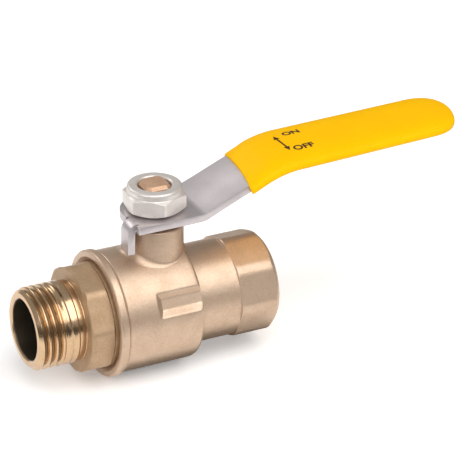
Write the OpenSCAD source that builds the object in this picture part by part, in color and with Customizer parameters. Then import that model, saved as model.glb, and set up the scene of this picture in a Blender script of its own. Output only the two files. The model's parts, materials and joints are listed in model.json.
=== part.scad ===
// Quarter-turn ball valve for 1/2 inch pipe, male by female, with a sleeved steel lever.
// The pipe runs along X and the stem along Z. The origin is the centre of the male end
// face and the female end points to +X. The lever is drawn open, along the pipe.

/* [Pipe ends] */
// Outside diameter of the male pipe thread
thread_od = 20.955; // [20:0.005:22]
// Length of the male end from its face to the collar
male_len = 12.4; // [10:0.1:18]
// Width of the plain relief between the thread and the collar
relief_w = 2.1; // [1:0.1:3.5]
// Depth of that relief under the crest of the thread
relief_depth = 0.3; // [0.1:0.05:1.4]
// Inside diameter of the female thread
tap_bore = 18.632; // [17.5:0.002:19.5]
// Depth of the female thread
tap_len = 15.4; // [12:0.2:20]
// Diameter of the flow passage
port_d = 15.2; // [12:0.1:16]
// Wall between the fixed seat and the female thread
seat_wall = 3; // [1.5:0.1:5]
// Chamfer at the two pipe ends
face_chamfer = 1.1; // [0.4:0.1:1.6]

/* [Wrench faces] */
// Width across the flats of the male collar
collar_af = 26; // [25:0.5:28]
// Length of the flats of the male collar
collar_w = 6.3; // [4:0.1:9]
// Turn of the collar flats about the pipe
collar_turn = 16; // [-22:0.5:22]
// Width across the flats of the female end
end_af = 25; // [24:0.5:28]
// Turn of the female flats about the pipe
end_turn = -19.5; // [-22:0.5:22]
// Depth turned off the corners of the collar
collar_trim = 0.25; // [0.1:0.05:0.9]
// Depth turned off the corners of the female end
end_trim = 0.4; // [0.1:0.05:0.9]
// Bevel at the open end of the female flats
end_bevel = 1.4; // [0.5:0.1:2]

/* [Body] */
// Diameter of the round body
body_d = 31; // [30:0.5:36]
// Length of the round body from its shoulder to the step
body_len = 22.9; // [22:0.1:28]
// Width of the rolled lip at the adapter side
lip_w = 2; // [1.5:0.1:3]
// Height of the lip over the body
lip_h = 0.6; // [0.3:0.1:1]
// Rounding of the face at the lip
lip_round = 1.7; // [0.8:0.1:2]
// Rounding of the end at the neck
end_round = 1.7; // [0.5:0.1:2]
// Diameter of the neck before the female flats
neck_d = 24.9; // [24.6:0.1:26]
// Length of the neck
neck_len = 11.5; // [8:0.1:12]
// Diameter of the screwed joint between body and adapter
joint_d = 26.6; // [26:0.1:27]
// Length of the sunken cast panel, which runs out at the neck end of the body
panel_len = 11.6; // [6:0.2:13]
// Height of the floor of the panel
panel_h = 2.8; // [2:0.1:5]
// Depth of the panel
panel_depth = 1.3; // [0.3:0.05:1.5]
// Width of the sloping wall round the panel
panel_draft = 1.9; // [0.2:0.1:2.5]
// Tilt of the panel above the side of the body
panel_tilt = 23; // [0:1:30]

/* [Ball and seats] */
// Diameter of the ball
ball_d = 24; // [23:0.1:24.4]
// Distance of the stem from the shoulder of the body
stem_offset = 16.1; // [15:0.1:17]
// Outside diameter of the seat rings
seat_od = 21; // [19:0.1:21.6]
// Length of a seat ring along the pipe
seat_len = 4.2; // [3:0.1:5]
// Distance of the back of a seat from the ball centre
seat_back = 11; // [10.5:0.1:12]
// Depth of the stem slot in the ball
slot_depth = 3.1; // [2:0.1:3.5]

/* [Stem and boss] */
// Diameter of the stem boss
boss_d = 14.6; // [13.5:0.1:17]
// Height of the boss top over the pipe axis
boss_top = 22.5; // [20:0.1:26]
// Fillet at the foot of the boss
boss_round = 2.1; // [0.5:0.1:3]
// Width of the stop lug on the boss
lug_w = 4.2; // [3:0.1:6]
// Diameter of the stem in the boss
stem_d = 9; // [8:0.1:9.6]
// Diameter of the flange at the foot of the stem
flange_d = 11.2; // [10.6:0.1:11.8]
// Thickness of the stem flange
flange_t = 1.9; // [1.2:0.1:2.5]
// Thickness of the thrust washer
washer_t = 0.7; // [0.5:0.1:1]
// Thickness of the tang that turns the ball
tang_w = 4.8; // [4:0.1:6]
// Width across the flats of the square that carries the lever
square_af = 6.8; // [6:0.1:7]
// Diameter of the thread on the stem top
stem_thread_d = 8; // [7.5:0.1:8.4]
// Thickness of the stem seal rings
seal_t = 1.3; // [1:0.05:1.5]

/* [Lever] */
// Thickness of the lever plate
plate_t = 1.9; // [1.5:0.1:3]
// Width of the hub of the lever
hub_w = 17; // [16:0.2:20]
// Distance from the stem to the back edge of the hub
hub_back = 8.1; // [7.8:0.1:11]
// Width of the lever where it enters the sleeve
waist_w = 16.4; // [12:0.2:17]
// Width of the lever at the start of the grip
grip_w = 17.6; // [14:0.2:20]
// Width of the lever before its round tip
tip_w = 18.4; // [14:0.2:22]
// Gap between the boss and the lever plate
hub_gap = 1.5; // [0.5:0.1:2.5]
// Distance from the stem to the first bend
bend_x = 9; // [8:0.5:14]
// Slope of the arm between its two bends
rise_angle = 23; // [10:1:40]
// Length of the sloping stretch
rise_len = 19.5; // [10:0.5:30]
// Slope of the grip beyond the second bend
grip_angle = 1.4; // [0:0.1:8]
// Radius of the first bend
bend_r = 3; // [2:0.5:12]
// Radius of the second bend
crest_r = 24; // [10:1:30]
// Reach of the lever from the stem to its tip
lever_reach = 83; // [70:0.5:120]
// Length of the two stop tabs under the plate
tab_drop = 6.2; // [4:0.1:6.4]
// Distance from the stem to the outer face of a stop tab
tab_x = 10; // [9:0.1:12]
// Width of a stop tab
tab_w = 4; // [3:0.1:5]

/* [Sleeve] */
// Distance from the stem to the start of the sleeve
sleeve_start = 22.8; // [18:0.2:26]
// Wall of the sleeve at its long edges and its tip
sleeve_wall = 1.3; // [0.8:0.1:3]
// Wall of the sleeve over the middle of the plate
sleeve_crown = 1.3; // [0.8:0.1:3]
// Length of the round tip of the sleeve
tip_len = 9; // [5:0.5:14]

/* [Nut] */
// Width across the flats of the lever nut
nut_af = 14; // [13:0.5:17]
// Height of the lever nut
nut_h = 6.7; // [5:0.1:8]
// Height of the hexagon at its corners
nut_hex_h = 3.7; // [3:0.1:5]
// Diameter of the round collar over the hexagon
nut_collar_d = 13.8; // [12:0.1:14]
// Turn of the tightened nut about the stem
nut_turn = 23; // [0:1:59]

/* [Clearances] */
// Gap between the sleeve and the plate inside it
sleeve_gap = 0.25; // [0.1:0.05:0.4]
// Gap between the ball and a seat
seat_gap = 0.1; // [0.05:0.05:0.3]
// Gap between the ball and the wall of its chamber
chamber_gap = 0.6; // [0.3:0.1:0.8]
// Radial gap of the stem in the boss
stem_gap = 0.05; // [0.02:0.01:0.1]
// Gap of the tang in its slot and of the square in the plate
drive_gap = 0.1; // [0.05:0.05:0.2]
// Gap left between a stop tab and the stop lug
stop_gap = 0.05; // [0.02:0.01:0.2]

/* [Hidden] */
$fn = 96;
// Turned ring behind the collar flats, which seats on the body
ring_w = 0.4;
eps = 0.01;
// Depth by which the boss fillet runs into the boss and the body
fillet_tuck = 0.05;

// Places along the pipe
collar_x = male_len;
body_x = collar_x + collar_w + ring_w;
body_end = body_x + body_len;
end_x = body_end + neck_len;
stem_x = body_x + stem_offset;
tap_x = stem_x + seat_back + seat_wall;
end_face = tap_x + tap_len;
// Inner end of the adapter, level with the front of its seat
joint_x = stem_x - seat_back + seat_len;

// Radii
thread_r = thread_od / 2;
relief_r = thread_r - relief_depth;
body_r = body_d / 2;
lip_r = body_r + lip_h;
neck_r = neck_d / 2;
port_r = port_d / 2;
ball_r = ball_d / 2;
chamber_r = ball_r + chamber_gap;
joint_r = joint_d / 2;
seat_r = seat_od / 2;
tap_r = tap_bore / 2;
boss_r = boss_d / 2;
stem_r = stem_d / 2;
stem_bore_r = stem_r + stem_gap;
recess_r = flange_d / 2 + 3 * stem_gap;

// Heights over the pipe axis
slot_z = ball_r - slot_depth;
flange_z = ball_r + chamber_gap / 2;
washer_z = flange_z + flange_t + stem_gap;
recess_z = washer_z + washer_t + stem_gap;
hub_z = boss_top + hub_gap;
nut_z = hub_z + plate_t;
stem_top = nut_z + nut_h;
seal_gap = 0.25;
// Inside radius of the bend of a stop tab, and width of the relief beside it
tab_bend = 0.7;
tab_relief = 0.8;
seal_z = [recess_z + 1.9, boss_top - 2.2];

// Revolves [x, radius] points about the pipe axis
module turned_x(points) {
    rotate([90, 0, 90])
        rotate_extrude()
            polygon([for (p = points) [p[1], p[0]]]);
}

// Octagonal bar along the pipe with turned corners and chamfered ends
module wrench_bar(af, len, turn, trim, bevel) {
    corner_r = af / 2 / cos(22.5);
    trim_r = corner_r - trim;
    intersection() {
        rotate([turn, 0, 0])
            rotate([0, 90, 0])
                rotate([0, 0, 22.5])
                    cylinder(r = corner_r, h = len, $fn = 8);
        turned_x([[0, 0], [0, trim_r - bevel[0]], [bevel[0] / 2, trim_r],
                  [len - bevel[1], trim_r], [len, trim_r - bevel[1]], [len, 0]]);
    }
}

// The lug that both stop tabs run against
module stop_lug() {
    translate([stem_x - lug_w / 2, 0, 0])
        cube([lug_w, tab_x, boss_top - 0.6]);
}

// Height of the round body over its axis at [radius, angle] from the stem
function body_z(r, a) = sqrt(pow(body_r, 2) - pow(r * sin(a), 2));

// Triangles through loops of equally many points: a closed ring, or capped at both ends.
// Seen against the order of the loops, the points of a loop run anticlockwise.
module skin(loops, closed) {
    m = len(loops);
    n = len(loops[0]);
    polyhedron(
        points = [for (loop = loops, p = loop) p],
        faces = concat(
            [for (i = [0:closed ? m - 1 : m - 2], j = [0:n - 1], half = [0, 1])
                let (a = i * n + j, b = i * n + (j + 1) % n)
                let (c = (i + 1) % m * n + j, d = (i + 1) % m * n + (j + 1) % n)
                half == 0 ? [a, b, d] : [a, d, c]],
            closed ? [] : [[for (j = [n - 1:-1:0]) j], [for (j = [0:n - 1]) (m - 1) * n + j]]));
}

// Cast fillet between the boss and the round body: it follows their saddle line and dies
// out towards the neck
module boss_fillet() {
    inner = boss_r - 0.6;
    skin([for (a = [350:-10:0])
        let (f = 0.3 + boss_round * sin(a / 2))
        let (section = concat(
            [[inner, body_z(boss_r, a) - 1.4], [inner, body_z(boss_r, a) + f - fillet_tuck]],
            [for (t = [0:15:90])
                let (r = boss_r - fillet_tuck + f * (1 - cos(t)))
                [r, body_z(r, a) - fillet_tuck + f * (1 - sin(t))]],
            [[boss_r + f - fillet_tuck, body_z(boss_r + f, a) - 1]]))
        [for (p = section) [p[0] * cos(a), p[0] * sin(a), p[1]]]], true);
}

// Bare sunken panel on the side of the round body, where makers cast their lettering
module cast_panel() {
    rotate([-panel_tilt, 0, 0])
        translate([body_end - panel_len, panel_depth - body_r, 0])
            skin([for (k = [2, 0])
                let (g = k * panel_draft, top = panel_h / 2 + g, right = panel_len + 1)
                let (y = -k * panel_depth)
                [[-g, y, -top], [right, y, -top], [right, y, top], [-g, y, top]]], false);
}

module body_outside() {
    translate([body_x, 0, 0])
        turned_x(concat(
            [[0, 0], [0, lip_r - lip_round]],
            [for (a = [15:15:90])
                [lip_round * (1 - cos(a)), lip_r - lip_round * (1 - sin(a))]],
            [[lip_w, lip_r], [lip_w + 0.3, body_r]],
            [for (a = [0:15:75])
                [body_len - end_round * (1 - sin(a)), body_r - end_round * (1 - cos(a))]],
            [[body_len, body_r - end_round], [body_len, neck_r],
             [end_x - body_x + 1, neck_r], [end_x - body_x + 1, 0]]));
    translate([end_x, 0, 0])
        wrench_bar(end_af, end_face - end_x, end_turn, end_trim, [0.2, end_bevel]);
    translate([stem_x, 0, 0])
        cylinder(r = boss_r, h = boss_top);
    intersection() {
        translate([stem_x, 0, 0])
            boss_fillet();
        translate([body_x + lip_w, -body_d, 0])
            cube([body_len - lip_w - fillet_tuck, 2 * body_d, boss_top]);
    }
    stop_lug();
}

module body() {
    color([0.80, 0.67, 0.55])
        difference() {
            body_outside();
            cast_panel();
            // Screwed joint for the adapter, then the chamber of the ball
            translate([body_x - eps, 0, 0])
                turned_x([[0, 0], [0, joint_r], [joint_x - body_x + 0.3, joint_r],
                          [joint_x - body_x + 0.3, 0]]);
            translate([joint_x, 0, 0])
                rotate([0, 90, 0])
                    cylinder(r = chamber_r, h = stem_x - joint_x);
            translate([stem_x, 0, 0])
                sphere(r = chamber_r);
            // Pocket of the fixed seat, the passage and the threaded end
            translate([stem_x, 0, 0])
                rotate([0, 90, 0])
                    cylinder(r = seat_r + stem_gap, h = seat_back);
            translate([stem_x, 0, 0])
                turned_x([[0, 0], [0, port_r], [end_face - stem_x + eps, port_r],
                          [end_face - stem_x + eps, 0]]);
            translate([tap_x, 0, 0])
                turned_x([[0, 0], [-0.6, port_r], [0, tap_r], [tap_len - face_chamfer, tap_r],
                          [tap_len + eps, tap_r + face_chamfer], [tap_len + eps, 0]]);
            // Stem bore and the recess of the stem flange
            translate([stem_x, 0, 0])
                cylinder(r = stem_bore_r, h = boss_top + 1);
            translate([stem_x, 0, 0])
                cylinder(r = recess_r, h = recess_z);
        }
}

module end_adapter() {
    inner_x = joint_x - collar_x;
    color([0.80, 0.66, 0.47])
        difference() {
            union() {
                turned_x([[0, 0], [0, thread_r - face_chamfer], [face_chamfer, thread_r],
                          [male_len - relief_w, thread_r], [male_len - relief_w + 0.6, relief_r],
                          [male_len + eps, relief_r], [male_len + eps, 0]]);
                translate([collar_x, 0, 0])
                    wrench_bar(collar_af, collar_w, collar_turn, collar_trim, [0.9, 0.9]);
                translate([collar_x + eps, 0, 0])
                    turned_x([[0, 0], [0, joint_r], [body_x - collar_x - eps, joint_r],
                              [body_x - collar_x - eps, joint_r - stem_gap],
                              [inner_x - 0.6, joint_r - stem_gap], [inner_x, joint_r - 0.6],
                              [inner_x, 0]]);
            }
            turned_x([[-eps, 0], [-eps, port_r + 0.5], [0.5, port_r],
                      [joint_x + 1, port_r], [joint_x + 1, 0]]);
            translate([stem_x - seat_back, 0, 0])
                rotate([0, 90, 0])
                    cylinder(r = seat_r + stem_gap, h = seat_back);
        }
}

module ball() {
    color([0.86, 0.87, 0.88])
        translate([stem_x, 0, 0])
            difference() {
                sphere(r = ball_r);
                rotate([0, 90, 0])
                    cylinder(r = port_r, h = ball_d + 2, center = true);
                translate([-tang_w / 2 - drive_gap, -ball_r, slot_z])
                    cube([tang_w + 2 * drive_gap, ball_d, ball_r]);
            }
}

// Seat ring whose hollow face follows the ball, placed on the +X side of the ball
module seat_ring() {
    difference() {
        turned_x([[seat_back - seat_len, 0], [seat_back - seat_len, seat_r],
                  [seat_back, seat_r], [seat_back, 0]]);
        rotate([0, 90, 0])
            cylinder(r = port_r, h = ball_d);
        sphere(r = ball_r + seat_gap);
    }
}

module seat_male() {
    color([0.96, 0.96, 0.94])
        translate([stem_x, 0, 0])
            mirror([1, 0, 0])
                seat_ring();
}

module seat_female() {
    color([0.96, 0.96, 0.94])
        translate([stem_x, 0, 0])
            seat_ring();
}

// Square with turned corners that drives the lever
module drive_bar(grow, len) {
    intersection() {
        translate([-square_af / 2 - grow, -square_af / 2 - grow, 0])
            cube([square_af + 2 * grow, square_af + 2 * grow, len]);
        cylinder(r = stem_thread_d / 2 + grow, h = len);
    }
}

module stem() {
    color([0.72, 0.55, 0.42])
        translate([stem_x, 0, 0]) {
            // Tang in the slot of the ball
            intersection() {
                translate([-tang_w / 2, -ball_r, slot_z + drive_gap])
                    cube([tang_w, ball_d, flange_z - slot_z]);
                cylinder(r = flange_d / 2 - 0.6, h = recess_z);
            }
            // Flange, shaft and seal grooves
            rotate_extrude()
                polygon(concat(
                    [[0, flange_z], [flange_d / 2, flange_z], [flange_d / 2, flange_z + flange_t],
                     [stem_r, flange_z + flange_t]],
                    [for (z = seal_z, k = [0, 1, 2, 3])
                        [k == 0 || k == 3 ? stem_r : stem_r - seal_t - stem_gap,
                         z + (k < 2 ? -1 : 1) * (seal_t / 2 + seal_gap)]],
                    [[stem_r, hub_z], [0, hub_z]]));
            translate([0, 0, hub_z - eps])
                drive_bar(0, stem_top - hub_z);
        }
}

module thrust_washer() {
    color([0.95, 0.95, 0.92])
        translate([stem_x, 0, washer_z])
            difference() {
                cylinder(r = flange_d / 2, h = washer_t);
                translate([0, 0, -1])
                    cylinder(r = stem_bore_r, h = washer_t + 2);
            }
}

module seal_ring(z) {
    translate([stem_x, 0, z])
        rotate_extrude()
            translate([stem_r - seal_t / 2, 0])
                circle(r = seal_t / 2, $fn = 48);
}

module stem_seal_lower() {
    color([0.13, 0.13, 0.13])
        seal_ring(seal_z[0]);
}

module stem_seal_upper() {
    color([0.13, 0.13, 0.13])
        seal_ring(seal_z[1]);
}

// Path of the lever seen from the side: [x, z] of the middle of the plate at its bends
bend_mid = bend_r + plate_t / 2;
crest_mid = crest_r + plate_t / 2;
crest_turn = rise_angle - grip_angle;
mid_z = hub_z + plate_t / 2;
slope_p = [bend_x + bend_mid * sin(rise_angle), mid_z + bend_mid * (1 - cos(rise_angle))];
crest_p = slope_p + rise_len * [cos(rise_angle), sin(rise_angle)];
crest_c = crest_p + crest_mid * [sin(rise_angle), -cos(rise_angle)];
grip_p = crest_c + crest_mid * [-sin(grip_angle), cos(grip_angle)];
crest_len = crest_mid * crest_turn * PI / 180;
grip_len = (lever_reach - grip_p[0]) / cos(grip_angle);

// Sector of a disc ring between two angles that are at most 90 degrees apart
module ring_sector(r1, r2, a1, a2) {
    intersection() {
        difference() {
            circle(r = r2, $fn = 192);
            circle(r = r1, $fn = 192);
        }
        polygon([[0, 0], 2 * r2 * [cos(a1), sin(a1)], 2 * r2 * [cos(a2), sin(a2)]]);
    }
}

// Side view of a strip of thickness t laid on the lever path from x1 on the hub side
module side_profile(t, x1) {
    translate([x1, mid_z - t / 2])
        square([bend_x - x1, t]);
    translate([bend_x, mid_z + bend_mid])
        ring_sector(bend_mid - t / 2, bend_mid + t / 2, -90, rise_angle - 90);
    translate(slope_p)
        rotate(rise_angle)
            translate([-eps, -t / 2])
                square([rise_len + 2 * eps, t]);
    translate(crest_c)
        ring_sector(crest_mid - t / 2, crest_mid + t / 2, 90 + grip_angle, 90 + rise_angle);
    translate(grip_p)
        rotate(grip_angle)
            translate([-eps, -t / 2])
                square([grip_len + eps, t]);
}

// Turns a side view [x, z] into a bar of width w centred on the pipe plane
module side_bar(w) {
    translate([0, w / 2, 0])
        rotate([90, 0, 0])
            linear_extrude(w)
                children();
}

// Stop tab bent down from an edge, drawn at the -X edge and centred on y = 0
module stop_tab() {
    outer = plate_t + tab_bend;
    side_bar(tab_w)
        translate([outer - tab_x, nut_z - outer]) {
            ring_sector(tab_bend, outer, 90, 180);
            translate([-outer, hub_z - tab_drop - nut_z + outer])
                square([plate_t, tab_drop + plate_t - outer + eps]);
            translate([-eps, tab_bend])
                square([tab_x - outer - stem_r, plate_t]);
        }
}

// Half width of the plate at a distance from the stem
function arm_half(x) = lookup(x, [[0, hub_w / 2], [bend_x - 3, hub_w / 2],
                                  [bend_x + 6, waist_w / 2], [sleeve_start, waist_w / 2],
                                  [sleeve_start + 14, grip_w / 2], [lever_reach, tip_w / 2]]);

// Share of the full width that the round tip leaves at a distance from its end
function tip_share(d, tip) = d >= tip ? 1 : pow(1 - pow(1 - d / tip, 2.6), 1 / 2.6);

module lever_plan() {
    half = hub_w / 2;
    tab_y = lug_w / 2 + stop_gap;
    plate_end = lever_reach - sleeve_wall - sleeve_gap;
    tip = tip_len - sleeve_wall;
    edge = concat(
        [for (x = [0, bend_x - 3, bend_x + 6, sleeve_start, sleeve_start + 14]) [x, arm_half(x)]],
        [for (k = [0:12])
            let (d = tip * pow(1 - k / 12, 2))
            [plate_end - d, arm_half(lever_reach) * tip_share(d, tip)]]);
    difference() {
        union() {
            circle(r = half);
            polygon(concat([[-hub_back, -half], [-hub_back, -lug_w / 2]], [[0, half]], edge,
                           [for (k = [len(edge) - 1:-1:0]) [edge[k][0], -edge[k][1]]]));
        }
        // The edge is cut back to the bend of each stop tab, with relief beside it
        for (tab = [[0, -tab_y - tab_w], [-90, tab_y]])
            rotate(tab[0])
                translate([-tab_x, tab[1] - tab_relief])
                    square([plate_t + tab_bend, tab_w + 2 * tab_relief]);
    }
}

module lever_plate() {
    tab_y = lug_w / 2 + stop_gap + tab_w / 2;
    color([0.77, 0.75, 0.74])
        translate([stem_x, 0, 0]) {
            difference() {
                intersection() {
                    side_bar(hub_w + 2)
                        side_profile(plate_t, -hub_w);
                    linear_extrude(100)
                        lever_plan();
                }
                translate([0, 0, hub_z - 1])
                    drive_bar(drive_gap, plate_t + 2);
            }
            translate([0, -tab_y, 0])
                stop_tab();
            rotate([0, 0, -90])
                translate([0, tab_y, 0])
                    stop_tab();
        }
}

// Point of the lever path at a length s past the first bend: [x, z, slope]
function lever_point(s) =
    s < rise_len ? [slope_p[0] + s * cos(rise_angle), slope_p[1] + s * sin(rise_angle), rise_angle] :
    s < rise_len + crest_len ?
        let (a = rise_angle - (s - rise_len) / crest_mid * 180 / PI)
        [crest_c[0] - crest_mid * sin(a), crest_c[1] + crest_mid * cos(a), a] :
    let (d = s - rise_len - crest_len)
    [grip_p[0] + d * cos(grip_angle), grip_p[1] + d * sin(grip_angle), grip_angle];

// Rounded section of width w and thickness t across the lever at a point of its path
function sleeve_loop(p, w, t, power) =
    [for (a = [0:15:345])
        let (c = cos(a), q = sin(a))
        let (y = w / 2 * sign(c) * pow(abs(c), 2 / power))
        let (n = t / 2 * sign(q) * pow(abs(q), 2 / power))
        [p[0] - n * sin(p[2]), y, p[1] + n * cos(p[2])]];

// Stations along a stretch that is closed by the round tip
function stations(s0, s1, tip) = concat(
    [for (k = [0:9]) s0 + (rise_len + crest_len - s0) * k / 9],
    [for (k = [1:3]) rise_len + crest_len + (s1 - tip - rise_len - crest_len) * k / 3],
    [for (k = [1:9]) s1 - tip * pow(1 - k / 9.6, 2)]);

module lever_sleeve() {
    s0 = (sleeve_start - slope_p[0]) / cos(rise_angle);
    s1 = rise_len + crest_len + grip_len;
    outer = [for (s = stations(s0, s1, tip_len))
        let (p = lever_point(s), share = tip_share(s1 - s, tip_len))
        sleeve_loop(p, 2 * (arm_half(p[0]) + sleeve_wall) * share,
                    (plate_t + 2 * sleeve_crown) * (0.35 + 0.65 * share), 2.5)];
    s2 = s1 - sleeve_wall;
    inner = [for (s = stations(s0, s2, tip_len - sleeve_wall))
        let (p = lever_point(s), share = tip_share(s2 - s, tip_len - sleeve_wall))
        sleeve_loop(p, 2 * (arm_half(p[0]) + sleeve_gap) * share,
                    plate_t + 2 * sleeve_gap, 12)];
    loops = concat([for (k = [len(outer) - 1:-1:0]) outer[k]], inner);
    color([1.0, 0.77, 0.0])
        translate([stem_x, 0, 0])
            skin(loops, false);
}

module lever_nut() {
    flat_r = nut_af / 2;
    wide_r = flat_r / cos(30) + 0.1;
    collar_r = nut_collar_d / 2;
    bore_r = stem_thread_d / 2 + stem_gap;
    bore_flare = 0.4;
    low_chamfer = 1.2;
    // Rounding of the collar towards its top, and its taper
    top_round = 0.7;
    taper = 0.1;
    slope = 30;
    low_r = flat_r - low_chamfer;
    color([0.84, 0.82, 0.79])
        translate([stem_x, 0, nut_z])
            intersection() {
                rotate([0, 0, nut_turn])
                    cylinder(r = nut_af / 2 / cos(30), h = nut_h, $fn = 6);
                rotate_extrude()
                    polygon(concat(
                        [[bore_r, 0], [low_r, 0], [wide_r, (wide_r - low_r) * tan(slope)],
                         [wide_r, nut_hex_h], [collar_r, nut_hex_h + (wide_r - collar_r) * tan(slope)]],
                        [for (a = [0:15:90])
                            [collar_r - taper - top_round * (1 - cos(a)),
                             nut_h - top_round * (1 - sin(a))]],
                        [[bore_r + bore_flare, nut_h], [bore_r, nut_h - bore_flare]]));
            }
}

body();
end_adapter();
ball();
seat_male();
seat_female();
stem();
thrust_washer();
stem_seal_lower();
stem_seal_upper();
lever_plate();
lever_sleeve();
lever_nut();
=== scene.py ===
"""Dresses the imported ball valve: cast body, threaded ends, pressed lever, sleeve, nut and stage."""
import json
import math
from contextlib import contextmanager

import bmesh
import bpy
import numpy as np
from bpy.props import FloatProperty, FloatVectorProperty, PointerProperty
from mathutils import Matrix, Vector
from mathutils.bvhtree import BVHTree

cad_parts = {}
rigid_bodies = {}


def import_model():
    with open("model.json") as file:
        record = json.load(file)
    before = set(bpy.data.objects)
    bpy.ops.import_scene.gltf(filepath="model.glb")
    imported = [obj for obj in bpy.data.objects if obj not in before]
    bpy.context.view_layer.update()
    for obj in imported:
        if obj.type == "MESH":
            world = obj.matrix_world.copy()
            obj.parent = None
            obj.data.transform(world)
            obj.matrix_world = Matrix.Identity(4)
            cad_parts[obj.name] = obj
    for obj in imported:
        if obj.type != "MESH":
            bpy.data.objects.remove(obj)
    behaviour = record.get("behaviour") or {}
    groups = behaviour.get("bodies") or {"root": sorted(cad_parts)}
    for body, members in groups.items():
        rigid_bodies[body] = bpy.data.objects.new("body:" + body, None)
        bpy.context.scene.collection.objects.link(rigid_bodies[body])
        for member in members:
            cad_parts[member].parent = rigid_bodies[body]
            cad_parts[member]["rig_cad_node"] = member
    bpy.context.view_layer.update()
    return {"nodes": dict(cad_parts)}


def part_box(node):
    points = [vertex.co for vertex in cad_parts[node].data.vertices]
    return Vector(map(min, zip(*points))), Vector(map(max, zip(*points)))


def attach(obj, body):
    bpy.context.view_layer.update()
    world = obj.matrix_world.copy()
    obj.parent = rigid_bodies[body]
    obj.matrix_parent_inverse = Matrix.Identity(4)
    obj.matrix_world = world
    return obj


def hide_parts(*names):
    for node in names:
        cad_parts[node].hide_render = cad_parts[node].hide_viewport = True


bl_info = {
    "name": "Lever ball valve",
    "version": (1, 0, 0),
    "blender": (4, 5, 0),
    "location": "View3D > Sidebar > Valve",
    "description": "Makes the visible pieces of a half inch lever ball valve round its CAD frame",
    "category": "Add Mesh",
}

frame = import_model()

MM = 0.001
TURN = 2 * math.pi

# Places taken from the frame
BODY_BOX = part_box("body")
STEM_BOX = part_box("stem")
STEM_X = (STEM_BOX[0].x + STEM_BOX[1].x) / 2
BODY_X = BODY_BOX[0].x
END_X = BODY_BOX[1].x
BOSS_TOP = BODY_BOX[1].z
ADAPTER_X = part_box("end_adapter")[1].x
SLEEVE_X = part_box("lever_sleeve")[1].x
SLEEVE_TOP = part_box("lever_sleeve")[1].z
NUT_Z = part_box("lever_nut")[0].z
FLOOR_Z = BODY_BOX[0].z

# Sizes that more than one piece needs, in metres
WELD = 1e-6
NEAR = 0.01 * MM
PRINT_LIFT = 6 * MM
SEAT_POCKET = 10.55 * MM
STEM_TOP = STEM_BOX[1].z + 0.6 * MM

# Image points in the photograph's 470 by 470 frame
FRAME_W = 470
FRAME_H = 470
IMAGE_POINTS = {
    "left": (9.4, 322.0),
    "right": (455.0, 116.0),
    "top": (430.0, 95.0),
    "bottom": (112.0, 376.0),
    "port_centre": (23.8, 329.3),
    "nut_left": (121.8, 186.0),
    "nut_right": (188.2, 191.5),
    "stem_end": (154.5, 181.3),
    "mouth_back": (224.3, 156.8),
    "mouth_front": (251.9, 194.5),
    "panel_corner": (155.7, 294.6),
    "word_on": (290.3, 132.6),
    "word_off": (303.6, 146.0),
    "arrow_on": (273.0, 136.8),
    "arrow_off": (290.3, 150.0),
}


def length(name, description, default):
    """A length property in metres, given in millimetres."""
    return FloatProperty(name=name, description=description, default=default * MM, unit="LENGTH", precision=5)


def angle(name, description, degrees):
    """An angle property, given in degrees."""
    return FloatProperty(name=name, description=description, default=math.radians(degrees), subtype="ANGLE")


def colour(name, description, value):
    """A colour property in linear light."""
    return FloatVectorProperty(
        name=name, description=description, default=value, size=3, subtype="COLOR", min=0, max=1
    )


class ValveCamera(bpy.types.PropertyGroup):
    azimuth: angle("Azimuth", "Turn of the camera from the -Y side towards the male end", 27.89)
    elevation: angle("Elevation", "Height angle of the camera", 27.15)
    roll: angle("Roll", "Turn of the camera about its own axis", 1.26)
    distance: length("Distance", "Distance from the aim point", 643.04)
    aim_right: length("Aim right", "Aim point right of the middle of the valve", 24.73)
    aim_up: length("Aim up", "Aim point above the middle of the valve", 8.53)
    lens: FloatProperty(name="Lens", description="Focal length in millimetres", default=199.15)


class ValvePipe(bpy.types.PropertyGroup):
    thread_radius: length("Thread radius", "Crest radius of the male thread", 10.4775)
    bore_radius: length("Passage radius", "Radius of the flow passage", 7.6)
    pitch: length("Pitch", "Pitch of both pipe threads", 1.814)
    thread_depth: length("Thread depth", "Depth of both pipe threads", 1.05)
    tap_radius: length("Tap radius", "Crest radius of the female thread", 9.316)
    tap_length: length("Tap length", "Depth of the female thread", 15.4)
    thread_end: length("Thread end", "Where the male thread runs out, from its face", 10.3)
    collar_start: length("Collar start", "Distance of the collar from the male face", 12.4)
    collar_flat: length("Collar flat", "Half the width across the collar flats", 13.0)
    collar_turn: angle("Collar turn", "Turn of the collar flats about the pipe", 16)
    end_flat: length("End flat", "Half the width across the female flats", 12.5)
    end_turn: angle("End turn", "Turn of the female flats about the pipe", -19.5)
    joint_radius: length("Joint radius", "Radius of the joint between body and adapter", 13.3)


class ValveBody(bpy.types.PropertyGroup):
    radius: length("Radius", "Radius of the round body", 15.5)
    lip_height: length("Lip height", "Height of the rolled lip over the body", 0.6)
    round_length: length("Round length", "Length of the round body", 22.9)
    neck_radius: length("Neck radius", "Radius of the neck", 12.45)
    neck_length: length("Neck length", "Length of the neck", 11.5)
    boss_radius: length("Boss radius", "Radius of the stem boss", 7.3)
    boss_fillet: length("Boss fillet", "Radius of the cast fillet on the lip side of the boss", 2.1)
    bore_radius: length("Stem bore", "Radius of the stem bore", 4.55)
    lug_half: length("Lug half width", "Half the width of the stop lug", 2.1)
    lug_reach: length("Lug reach", "Distance from the stem to the end of the stop lug", 10.0)
    panel_length: length("Panel length", "Length of the floor of the sunken panel", 10.9)
    panel_height: length("Panel height", "Height of the floor of the sunken panel", 3.1)
    panel_depth: length("Panel depth", "Depth of the sunken panel", 1.3)
    panel_tilt: angle("Panel tilt", "Angle of the panel above the side of the body", 25.3)


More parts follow.
